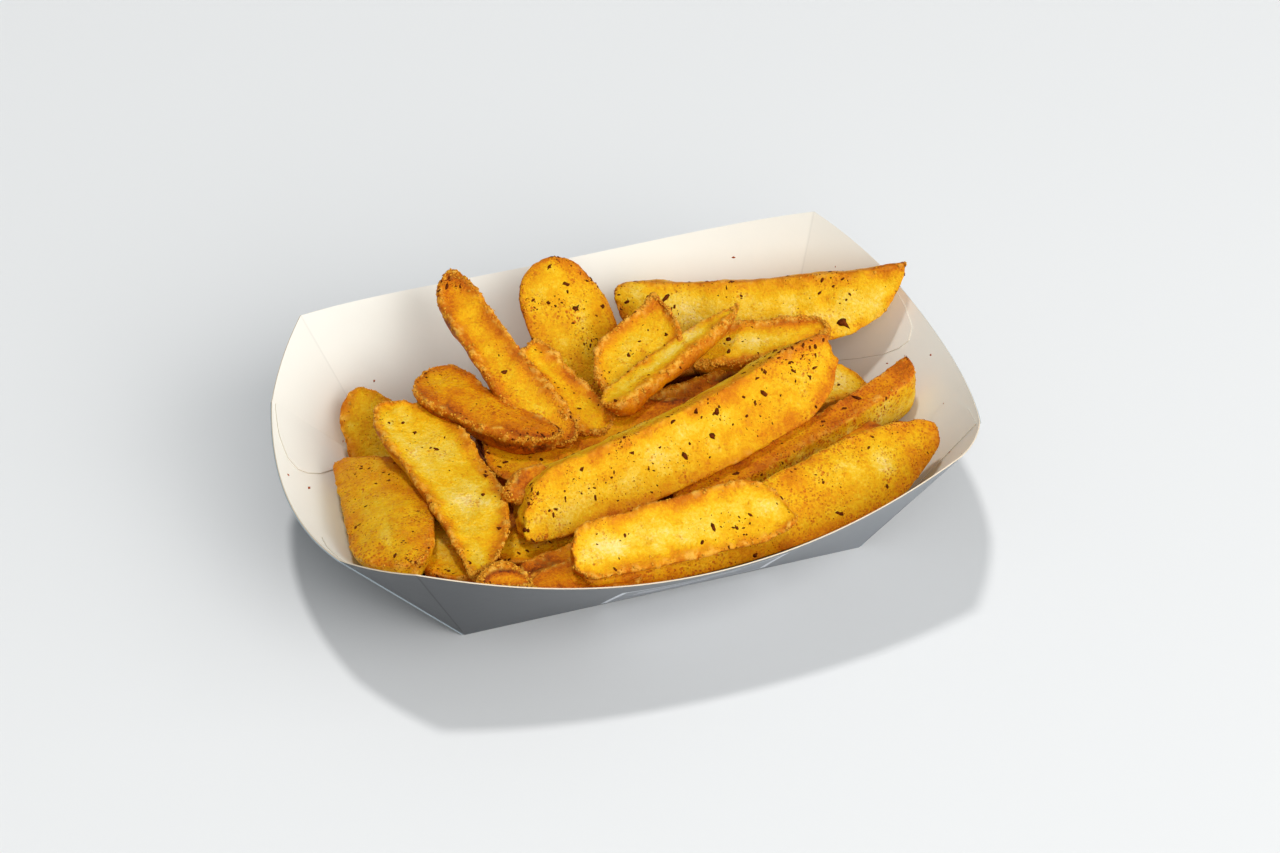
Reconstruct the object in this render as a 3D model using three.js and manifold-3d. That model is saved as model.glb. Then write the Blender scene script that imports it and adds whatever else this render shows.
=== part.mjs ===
// Seasoned potato wedges heaped in an open paperboard tray.
// Millimetres and degrees, +Z up. X runs along the tray, Y across it, and the origin is the
// middle of the tray's underside, so the tray stands on z = 0.

import * as THREE from "three";
import { mergeVertices } from "three/addons/utils/BufferGeometryUtils.js";
import Module from "manifold-3d";

// ---- driving dimensions: the tray ----
const BOARD = 0.6; // thickness of the paperboard
const FLOOR = { halfLength: 54, halfWidth: 32 };
const LONG_WALL = {
  slant: 49.5, // height of the wall along its slope
  leanAtFold: 27, // from the vertical, at the corner folds
  leanAtMiddle: 45, // the heap bows the wall out in the middle
  foldHalfLength: 72, // half the rim, fold to fold
};
// The rim of an end: where the gusset folds on to the end panel, and its middle.
const END_FOLD = new THREE.Vector3(86, 33, 35);
const END_MIDDLE = new THREE.Vector3(91, 0, 30.7);
const GUSSET_SWELL = 1; // how far a gusset's rim bows out
// Each gusset carries on into a tongue that is glued inside the end panel.
const TONGUE = {
  thickness: 0.5,
  reach: 0.58, // of the way from its fold to the middle of the panel
  // At each share of the panel's height, the share of that reach: a slant up to a round tip.
  outline: [
    [0.3, 0.04],
    [0.42, 0.3],
    [0.55, 0.6],
    [0.68, 0.86],
    [0.78, 0.98],
    [0.85, 1.0],
    [0.91, 0.86],
    [0.955, 0.5],
    [0.975, 0.08],
  ],
};
const STEPS = { wall: 8, gusset: 2, end: 6, height: 3 }; // facets of each part of the wall
const TOLERANCE = 0.02; // slivers finer than this are merged away

// ---- driving dimensions: the heap ----
const CLEARANCE = 0.4; // between the heap and the board
const ROOM = { height: 1.6, steps: 5 }; // the room for the heap: its height, 1 at the rim
const CORE = { halfLength: 60, halfWidth: 40, top: 27, centre: [-2, -4, 3] };
const CORE_STEPS = [20, 10]; // around and up
const RINGS = 8; // sections along a wedge
const TIP_SHARE = 0.2; // of its full section, what a wedge keeps at its very end
const SKIN_SWELL = 2; // how far the two hidden sides of a wedge swell

// A wedge lies between two points on the middle line of its widest face. roll turns that face
// about the line, from facing up towards the front. ridge puts the third corner across the
// width: 0 is the middle, 1 and -1 are the edges. ends gives, for each end, the share of the
// length that it is rounded over and where its tip is across the width. bow bends it sideways
// and up. crown swells the widest face, and taper widens it towards the second end.
const WEDGES = [
  { name: "long_middle", from: [-38.5, -34, 38], to: [58.5, -2.5, 40], roll: 45, width: 17.5, depth: 20,
    ridge: 1.1, ends: [[0.16, -0.8], [0.18, 0.6]], bow: [-3.4, 0], taper: 0.1 },
  { name: "long_back", from: [12, 43, 33.5], to: [85.5, 19.5, 37], roll: 42, width: 17, depth: 16,
    ridge: 0.9, ends: [[0.1, 0.7], [0.3, 1]], bow: [-2, 0], taper: 0.25, crown: 1 },
  { name: "long_right", from: [3, -29, 27], to: [79.5, -2, 32], roll: 10, width: 7, depth: 13,
    ridge: -1.1, ends: [[0.1, -0.6], [0.07, 1]], bow: [-1.4, 0], taper: -0.1 },
  { name: "skin_right", from: [-29, -55.5, 33], to: [75, -31, 33], roll: 38, width: 19, depth: 14,
    ends: [[0.55, -0.1], [0.32, 0.1]], bow: [-4.2, 0], taper: 0.3, crown: 3 },
  { name: "pale_front", from: [-32, -55, 40], to: [25.5, -52.5, 40], roll: 28, width: 16.5, depth: 10,
    ends: [[0.1, -0.4], [0.19, -0.5]], taper: 0.2 },
  { name: "pale_left", from: [-48, -50, 37], to: [-55.5, 20, 37], roll: 5, width: 20, depth: 13,
    ends: [[0.5, 1], [0.18, 0.4]], bow: [-1.9, 0], taper: 0.1 },
  { name: "block_left", from: [-73.5, -38, 36], to: [-64.5, 13.5, 27], roll: -10, width: 22.5, depth: 14,
    ends: [[0.3, -0.5], [0.35, 0.8]], bow: [-0.8, 0], taper: 0.1, crown: 2 },
  { name: "leaf_left", from: [-62.5, 14, 10], to: [-61, 36.5, 30], width: 17, depth: 8,
    ends: [[0.2, 0], [0.35, 0]], bow: [-2, 0], crown: 1 },
  { name: "curl_left", from: [-45.5, 28.5, 38], to: [-20, -5.5, 36], roll: -10, width: 17, depth: 8,
    ends: [[0.17, 0], [0.24, 0.3]], bow: [-3, 0], taper: -0.5, crown: 1 },
  { name: "stick_back", from: [-17, -5, 33], to: [-33, 51.5, 50], roll: 8, width: 12.5, depth: 10,
    ends: [[0.14, -0.1], [0.34, -0.3]], bow: [2, 0] },
  { name: "round_back", from: [-5.5, 18.5, 22], to: [-9.5, 53.5, 47], roll: 4, width: 25, depth: 12,
    ends: [[0.55, -0.9], [0.55, -0.5]], bow: [-5.8, 0], taper: 0.5, crown: 3 },
  { name: "short_back", from: [-6, -1, 31], to: [-17.5, 29, 40], roll: 10, width: 11, depth: 10,
    ends: [[0.24, 0.1], [0.08, -0.5]], bow: [1.3, 0], taper: -0.5 },
  { name: "fold_face", from: [0, 10, 35], to: [27, 25, 42], roll: 12, width: 20, depth: 14,
    ends: [[0.4, -0.7], [0.5, 1]], bow: [1.2, 0] },
  { name: "fold_ridge", from: [-3.5, -1, 37], to: [39, 24, 42], roll: 20, width: 7.5, depth: 13,
    ridge: 0.6, ends: [[0.17, -0.1], [0.55, 0]], bow: [-1.2, 0], taper: -0.2 },
  { name: "flat_back", from: [25, 20, 34], to: [63, 19, 33], roll: 15, width: 10.5, depth: 16,
    ends: [[0.4, -0.9], [0.16, -0.3]], bow: [-1.9, 0], taper: -0.5 },
  { name: "dark_middle", from: [4, 4.5, 29], to: [37, 13, 28], roll: 30, width: 7, depth: 11,
    ends: [[0.15, 0], [0.14, 0.3]], taper: -0.4 },
  { name: "stub_right", from: [30, -1, 27], to: [69, 11.5, 22], roll: 20, width: 12, depth: 12,
    ends: [[0.2, 0], [0.15, -0.6]] },
  { name: "stub_middle", from: [-39, -1, 32], to: [-4, -16, 29], width: 19, depth: 12,
    ends: [[0.25, 0.6], [0.2, 0]] },
  { name: "tucked_left", from: [-58.5, -46, 31], to: [-52.5, -7, 25], width: 14, depth: 12,
    ends: [[0.23, -0.5], [0.5, 0]], taper: -0.4 },
  { name: "tucked_middle", from: [-47, -35, 27], to: [-14, -27, 24], width: 15, depth: 12,
    ends: [[0.3, 0.2], [0.2, 0]] },
  { name: "thin_front", from: [-43.5, -49, 33], to: [-12, -40, 30], width: 6.5, depth: 12,
    ends: [[0.12, -0.6], [0.2, 0.4]] },
  { name: "rough_rim", from: [-56, -57, 38], to: [-44, -58.5, 38], roll: 10, width: 8.5, depth: 15,
    ridge: 2.5, ends: [[0.4, 0.5], [0.4, -0.2]], bow: [2, 0] },
  { name: "stub_rim", from: [-42.5, -54, 33], to: [-14, -54, 31], roll: 10, width: 11.5, depth: 10,
    ends: [[0.4, -0.3], [0.16, -0.3]] },
  // the layer below, of which little shows
  { name: "low_left", from: [-60, -30, 19], to: [-55, 30, 18], width: 20, depth: 13,
    ends: [[0.3, 0], [0.25, 0]] },
  { name: "low_back", from: [-22, 34, 28], to: [58, 28, 27], roll: 10, width: 20, depth: 16,
    ends: [[0.25, 0.3], [0.3, 0]] },
  { name: "low_middle", from: [-38, 8, 29], to: [26, -8, 33], roll: 5, width: 20, depth: 16,
    ends: [[0.25, 0], [0.2, 0.4]] },
  { name: "low_right", from: [10, -16, 27], to: [68, -18, 25], roll: 15, width: 18, depth: 14,
    ends: [[0.2, 0], [0.3, -0.3]] },
  { name: "low_front", from: [-57, -43, 26], to: [52, -40, 25], roll: 10, width: 18, depth: 15,
    ends: [[0.2, 0], [0.3, 0]] },
];

const wasm = await Module();
wasm.setup();

const rad = THREE.MathUtils.degToRad;
const lerp = THREE.MathUtils.lerp;
const V = (x, y, z) => new THREE.Vector3(x, y, z);

// ---- helpers that gather faces into closed bodies ----

// Collects flat polygons, and gives them back as one indexed geometry of triangles. A polygon's
// corners run anticlockwise as seen from outside.
class Faces {
  corners = [];

  add(...polygon) {
    for (let i = 1; i + 1 < polygon.length; i++)
      this.corners.push(polygon[0], polygon[i], polygon[i + 1]);
  }

  // A strip between two rows of points, closed into a band if asked.
  band(lower, upper, closed = true) {
    const last = closed ? lower.length : lower.length - 1;
    for (let i = 0; i < last; i++) {
      const j = (i + 1) % lower.length;
      this.add(lower[i], lower[j], upper[j], upper[i]);
    }
  }

  // A fan over a ring, seen from the side that the ring runs anticlockwise on.
  cap(ring) {
    const centre = ring.reduce((sum, p) => sum.add(p), V(0, 0, 0)).divideScalar(ring.length);
    ring.forEach((p, i) => this.add(centre, p, ring[(i + 1) % ring.length]));
  }

  geometry() {
    const soup = new THREE.BufferGeometry().setFromPoints(this.corners);
    const merged = mergeVertices(soup, 1e-4);
    const index = merged.index.array;
    const kept = [];
    for (let i = 0; i < index.length; i += 3) {
      const [a, b, c] = index.subarray(i, i + 3);
      if (a !== b && b !== c && c !== a) kept.push(a, b, c);
    }
    return merged.setIndex(kept);
  }
}

function solidOf(geometry) {
  const position = geometry.getAttribute("position").array;
  return new wasm.Manifold(
    new wasm.Mesh({
      numProp: 3,
      vertProperties: new Float32Array(position),
      triVerts: new Uint32Array(geometry.index.array),
    }),
  );
}

// The solid's surface, without slivers finer than the given tolerance.
function geometryOf(solid) {
  const { vertProperties, triVerts } = solid.simplify(TOLERANCE).getMesh();
  return new THREE.BufferGeometry()
    .setAttribute("position", new THREE.BufferAttribute(vertProperties, 3))
    .setIndex(new THREE.BufferAttribute(triVerts, 1));
}

// ---- the tray ----

// The tray's wall is ruled: each spoke runs straight from a foot on the floor's edge to a point
// on the rim. These go from the middle of the front wall round to the middle of the right end.
function quarterSpokes() {
  const spokes = [];
  const { slant, leanAtFold, leanAtMiddle, foldHalfLength } = LONG_WALL;
  for (let i = 0; i <= STEPS.wall; i++) {
    const along = i / STEPS.wall;
    const lean = rad(lerp(leanAtMiddle, leanAtFold, along * along));
    spokes.push({
      foot: V(along * FLOOR.halfLength, -FLOOR.halfWidth, 0),
      rim: V(along * foldHalfLength, -FLOOR.halfWidth - slant * Math.sin(lean), slant * Math.cos(lean)),
    });
  }
  const wallFold = spokes.at(-1).rim;
  const endFold = END_FOLD.clone().setY(-END_FOLD.y);
  const outwards = V(1, -1, 0).normalize();
  for (let i = 1; i <= STEPS.gusset; i++) {
    const across = i / STEPS.gusset;
    const swell = GUSSET_SWELL * 4 * across * (1 - across);
    spokes.push({
      foot: V(FLOOR.halfLength, -FLOOR.halfWidth, 0),
      rim: wallFold.clone().lerp(endFold, across).addScaledVector(outwards, swell),
    });
  }
  for (let i = 1; i <= STEPS.end; i++) spokes.push(endSpoke(1 - i / STEPS.end));
  return spokes;
}

// A spoke of the right end's panel, from its middle (across = 0) to its front fold (across = 1).
function endSpoke(across) {
  return {
    foot: V(FLOOR.halfLength, -FLOOR.halfWidth * across, 0),
    rim: V(
      lerp(END_MIDDLE.x, END_FOLD.x, across * across),
      -END_FOLD.y * across,
      lerp(END_MIDDLE.z, END_FOLD.z, across * across),
    ),
  };
}

const mirrored = (spokes, x, y) =>
  spokes.map(({ foot, rim }) => ({
    foot: foot.clone().multiply(V(x, y, 1)),
    rim: rim.clone().multiply(V(x, y, 1)),
  }));

// All the way round, anticlockwise from above.
function allSpokes() {
  const quarter = quarterSpokes();
  const right = [...quarter, ...mirrored(quarter, 1, -1).reverse().slice(1)];
  const left = mirrored(right, -1, 1).reverse();
  return [...right, ...left.slice(1, -1)];
}

// The unit normal of the wall at each spoke, outwards and down.
function outwardNormals(spokes) {
  return spokes.map(({ foot, rim }, i) => {
    const before = spokes.at(i - 1).rim;
    const after = spokes[(i + 1) % spokes.length].rim;
    return after.clone().sub(before).cross(rim.clone().sub(foot)).normalize();
  });
}

// The same spokes moved inwards by a thickness, with their feet on the plane z = height and
// their rims at a share of the slope.
function insetSpokes(spokes, inset, height, share = 1) {
  const normals = outwardNormals(spokes);
  return spokes.map(({ foot, rim }, i) => {
    const slope = rim.clone().sub(foot);
    const start = foot.clone().addScaledVector(normals[i], -inset);
    return {
      foot: start.clone().addScaledVector(slope, (height - start.z) / slope.z),
      rim: start.clone().addScaledVector(slope, share),
    };
  });
}

const pointsAt = (spokes, share) => spokes.map(({ foot, rim }) => foot.clone().lerp(rim, share));

// The board of the tray, before its tongues: an outer and an inner skin joined at the rim.
function traySkin() {
  const faces = new Faces();
  const outer = allSpokes();
  const inner = insetSpokes(outer, BOARD, BOARD);
  for (let k = 0; k < STEPS.height; k++) {
    const [low, high] = [k / STEPS.height, (k + 1) / STEPS.height];
    faces.band(pointsAt(outer, low), pointsAt(outer, high));
    faces.band(pointsAt(inner, high), pointsAt(inner, low));
  }
  faces.band(pointsAt(outer, 1), pointsAt(inner, 1));
  faces.cap(pointsAt(outer, 0).reverse());
  faces.cap(pointsAt(inner, 0));
  return faces.geometry();
}

// One tongue, as a thin sheet on the inner side of the end panel that x and y pick.
function tongue(x, y) {
  const faces = new Faces();
  const turn = V(x, y, 1);
  const rows = TONGUE.outline.map(([height, share]) =>
    [1, 0.5, 0].map((part) => {
      const across = 1 - TONGUE.reach * share * part;
      const { foot, rim } = endSpoke(across);
      const slope = rim.clone().sub(foot);
      const inwards = V(0, -1, 0).cross(slope).normalize();
      const base = foot.addScaledVector(slope, height);
      return [BOARD / 2, BOARD + TONGUE.thickness].map((lift) =>
        base.clone().addScaledVector(inwards, lift).multiply(turn),
      );
    }),
  );
  const layer = (side) => rows.map((row) => row.map((pair) => pair[side]));
  const [under, over] = [layer(0), layer(1)];
  for (let k = 0; k + 1 < rows.length; k++) {
    faces.band(over[k], over[k + 1], false);
    faces.band(under[k + 1], under[k], false);
    for (const side of [0, 2]) {
      const [low, high] = side ? [over, under] : [under, over];
      faces.add(low[k][side], high[k][side], high[k + 1][side], low[k + 1][side]);
    }
  }
  faces.band(under[0], over[0], false);
  faces.band(over.at(-1), under.at(-1), false);
  const made = faces.geometry();
  return x * y > 0 ? made : turnedInsideOut(made);
}

function turnedInsideOut(geometry) {
  const index = [...geometry.index.array];
  for (let i = 0; i < index.length; i += 3) [index[i + 1], index[i + 2]] = [index[i + 2], index[i + 1]];
  return geometry.setIndex(index);
}

function trayGeometry() {
  let board = solidOf(traySkin());
  for (const x of [1, -1]) for (const y of [1, -1]) board = board.add(solidOf(tongue(x, y)));
  return geometryOf(board);
}

// ---- the heap ----

// The room inside the tray, clear of the board and its tongues and open to the sky.
function roomInside() {
  const faces = new Faces();
  const inset = BOARD + TONGUE.thickness + CLEARANCE;
  const walls = insetSpokes(allSpokes(), inset, BOARD + CLEARANCE, ROOM.height);
  for (let k = 0; k < ROOM.steps; k++)
    faces.band(pointsAt(walls, k / ROOM.steps), pointsAt(walls, (k + 1) / ROOM.steps));
  faces.cap(pointsAt(walls, 0).reverse());
  faces.cap(pointsAt(walls, 1));
  return solidOf(faces.geometry());
}

// How much of its section a wedge keeps at a share of its length: 1 in the middle, rounded off
// over the given reach to each end.
function endRounding(along, reach) {
  const into = Math.max(0, 1 - along / reach);
  return Math.max(TIP_SHARE, Math.sqrt(1 - Math.min(1, into * into)));
}

function wedgeGeometry({ from, to, roll = 0, width, depth, ridge = 0, ends, bow = [0, 0], taper = 0, crown = 0 }) {
  const faces = new Faces();
  const start = V(...from);
  const run = V(...to).sub(start);
  const axis = run.clone().normalize();
  const up = V(0, 0, 1).addScaledVector(axis, -axis.z).normalize();
  const side = up.clone().cross(axis);
  const turn = new THREE.Quaternion().setFromAxisAngle(axis, rad(roll));
  for (const direction of [up, side]) direction.applyQuaternion(turn);
  const [first, second] = ends;

  const rings = [];
  for (let i = 0; i < RINGS; i++) {
    const step = i / (RINGS - 1);
    const along = lerp(step, (1 - Math.cos(Math.PI * step)) / 2, 0.85);
    const arch = 4 * along * (1 - along);
    const middle = start
      .clone()
      .addScaledVector(run, along)
      .addScaledVector(side, bow[0] * arch)
      .addScaledVector(up, bow[1] * arch);
    const keptFirst = endRounding(along, first[0]);
    const keptSecond = endRounding(1 - along, second[0]);
    const kept = keptFirst * keptSecond;
    const half = (width / 2) * (1 + taper * (along - 0.5));
    const low = -1 + (first[1] + 1) * (1 - keptFirst) + (second[1] + 1) * (1 - keptSecond);
    const high = 1 - (1 - first[1]) * (1 - keptFirst) - (1 - second[1]) * (1 - keptSecond);
    const at = (across, lift) =>
      middle.clone().addScaledVector(side, across).addScaledVector(up, lift);
    const corners = [
      at(low * half, 0),
      at(high * half, 0),
      at(((low + high) / 2 + ridge * kept) * half, -depth * kept),
    ];
    const swells = [crown, SKIN_SWELL, SKIN_SWELL];
    rings.push(
      corners.flatMap((corner, k) => {
        const next = corners[(k + 1) % corners.length];
        const outwards = axis.clone().cross(next.clone().sub(corner)).normalize();
        return [corner, corner.clone().lerp(next, 0.5).addScaledVector(outwards, swells[k] * kept)];
      }),
    );
  }
  for (let i = 0; i + 1 < RINGS; i++) faces.band(rings[i + 1], rings[i]);
  faces.cap(rings[0]);
  faces.cap(rings.at(-1).reverse());
  return faces.geometry();
}

// The smooth mound under the wedges.
function coreGeometry() {
  const ball = new THREE.SphereGeometry(1, ...CORE_STEPS)
    .deleteAttribute("normal")
    .deleteAttribute("uv")
    .rotateX(Math.PI / 2);
  const [x, y, z] = CORE.centre;
  return mergeVertices(
    ball.scale(CORE.halfLength, CORE.halfWidth, CORE.top - z).translate(x, y, z),
    1e-3,
  );
}

function heapGeometry() {
  const pieces = WEDGES.map((wedge) => solidOf(wedgeGeometry(wedge)));
  const joined = pieces.reduce((heap, piece) => heap.add(piece), solidOf(coreGeometry()));
  return geometryOf(joined.intersect(roomInside()));
}

// ---- the object ----

function named(name, geometry, color, roughness) {
  const mesh = new THREE.Mesh(
    geometry,
    new THREE.MeshStandardMaterial({ color, roughness, metalness: 0, flatShading: true }),
  );
  mesh.name = name;
  return mesh;
}

const object = new THREE.Group();
object.add(named("tray", trayGeometry(), 0xe9e4da, 0.75));
object.add(named("wedge_heap", heapGeometry(), 0xdf9a1c, 0.6));

export default object;
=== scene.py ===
"""Seasoned potato wedges heaped in a folded paperboard tray.

Lengths are millimetres in the frame's own axes unless a name says otherwise: X along the tray,
Y across it from the front wall to the back wall, Z up from what the tray stands on. Meshes are
scaled to metres when they are made.
"""

import itertools
import math
from dataclasses import dataclass

import bmesh
import bpy
import numpy as np
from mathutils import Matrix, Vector
from mathutils.bvhtree import BVHTree


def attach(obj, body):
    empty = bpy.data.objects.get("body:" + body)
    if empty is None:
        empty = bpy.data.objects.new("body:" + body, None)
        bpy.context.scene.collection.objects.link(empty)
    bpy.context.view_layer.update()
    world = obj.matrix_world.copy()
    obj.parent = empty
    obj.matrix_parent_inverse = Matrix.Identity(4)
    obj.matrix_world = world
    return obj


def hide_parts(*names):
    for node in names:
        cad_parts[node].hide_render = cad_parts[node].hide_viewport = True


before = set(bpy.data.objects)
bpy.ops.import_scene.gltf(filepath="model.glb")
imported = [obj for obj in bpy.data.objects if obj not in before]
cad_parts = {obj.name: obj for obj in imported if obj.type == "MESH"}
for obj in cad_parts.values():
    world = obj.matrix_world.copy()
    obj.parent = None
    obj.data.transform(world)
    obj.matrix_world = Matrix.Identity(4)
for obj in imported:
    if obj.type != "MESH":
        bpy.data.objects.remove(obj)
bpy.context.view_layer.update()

MM = 0.001

# ---- the tray, as the frame has it ----
BOARD = 0.32  # thickness of the paperboard
PLY = 0.3  # room for a tongue or a flap
TONGUE_PLY, FLAP_PLY = PLY * 0.9, PLY * 0.96  # their thicknesses
FLOOR_HALF = (54, 32)
WALL_SLANT = 49.5  # height of a long wall along its slope
LEAN_AT_FOLD, LEAN_AT_MIDDLE = 27, 45  # of a long wall, in degrees from the vertical
FOLD_HALF_LENGTH = 72  # half of a long wall's rim
END_FOLD = np.array([86, 33, 35])  # where a gusset meets the end's rim
END_MIDDLE = np.array([91, 0, 30.7])  # the middle of that rim
GUSSET_SWELL = 1  # how far a gusset's rim bulges outwards
CREASE_HALF = 0.5  # half the width of the fold line between a long wall and a gusset
TONGUE_REACH = 0.58  # from its fold towards the middle of the end
TONGUE_OUTLINE = (  # share of the panel's height, share of that reach
    (0.3, 0.04), (0.42, 0.3), (0.55, 0.6), (0.68, 0.86), (0.78, 0.98),
    (0.85, 1.0), (0.91, 0.86), (0.955, 0.5), (0.975, 0.08),
)
# Steps along half of a long wall, along a gusset and half of an end, and up their slopes.
TRAY_STEPS = {"wall": 30, "gusset": 8, "end": 20, "height": 16}
TONGUE_STEPS = {"along": 9, "height": 33}
FLAP_STEPS = {"along": 41, "height": 17}
FLAP_FOOT = 0.01  # share of the end's height at which its outer ply starts
WELD_DISTANCE = 0.01  # within which points are one
FOLD_ANGLE, SHEET_ANGLE = 14, 40  # degrees above which an edge is shaded sharp
ENDS = (("right", 1), ("left", -1))
WALLS = (("front", 1), ("back", -1))
# Print on the long walls: left, right, low and high, along the wall and up its slope.
PRINT_FIELD = (-18, 27, 2, 30)
PRINT_BORDER = 1.6
PRINT_BARS = ((-12, 16, 20, 21.6), (-12, 8, 15, 16.6))
PAINTED_SHADE_HALF = 60  # half of the length along which the outside's grey carries painted shade, lighter towards one end
PAINTED_SHADE_LIGHT = (0.55, 1.75)  # how light the painted shade leaves that grey at both ends of it

# ---- the wedges ----
CLEARANCE = 0.3
ROOM_INSET = BOARD + PLY + CLEARANCE  # the wedges keep this far inside the tray's outer skin
ROOM_FLOOR = BOARD + CLEARANCE
ROOM_HEIGHT = 1.6  # how far up the walls' slopes it goes, as a share of them
ROOM_STEPS = 8
GRID = 0.5  # spacing of a wedge's mesh
COARSE_GRID = 1.2  # of a wedge that lies below the others
FEWEST_RINGS, FEWEST_COLUMNS = 12, 4  # of a wedge, and of one of its faces
RING_EASE = 0.7  # how much closer its rings are towards its ends
SKIN_SWELL = 2  # of the two faces that aren't its widest
CORNER_SMOOTHING = 4  # passes that round its corners
TIP = 0.05  # share of its section that a wedge keeps at its very end
RIM_WIDTH, BAND_WIDTH = 1.5, 3.8  # of the crust along a wedge's corners, and of its browning
DISH_WIDTH = 3  # how far from a corner its widest face has sunk
END_SHARE = 0.05  # share of its length over which an end is ragged
# Lumps of a wedge's skin: how high, how far across, and the seed of their noise.
SKIN_LUMPS = ((0.5, 15, 0), (0.36, 6, 1), (0.2, 2.8, 2), (0.1, 1.4, 3))
TONE_PATCHES = ((0.13, 12, 8), (0.07, 4.5, 9))
NOISE_STEP = 53.0  # from one wedge's noise to the next one's


@dataclass
class Wedge:
    """Lies from start to end on the middle line of its widest face, as the frame's solid does."""

    name: str
    start: tuple
    end: tuple
    width: float
    depth: float
    roll: float = 0  # degrees, from facing up towards the front
    ridge: float = 0  # place of the third corner across it: 0 in the middle, 1 on the edge
    ends: tuple = ((0.3, 0), (0.3, 0))  # share of the length rounded over, and the tip's place
    bow: float = 0  # how far its middle lies to the side
    taper: float = 0  # how much wider its far end is, as a share of the width
    crown: float = 0  # how far its widest face swells
    tone: float = 0.4  # 0 is pale cream, 1 is deep brown
    skin_and_shade_tone: float = 0.16  # how much deeper its two other faces are, partly as their skin's own colour and partly as painted shade; below 0 it paints light on them
    crust: float = 0.6  # how rough and brown its rims are
    dust: float = 0.4  # how much paprika lies on it
    flakes: float = 1  # how many dark flakes, against the usual
    dish: float = 0.5  # how far its widest face has sunk between the rims
    ragged: float = 0.5  # unevenness of its ends
    grid: float = GRID


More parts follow.
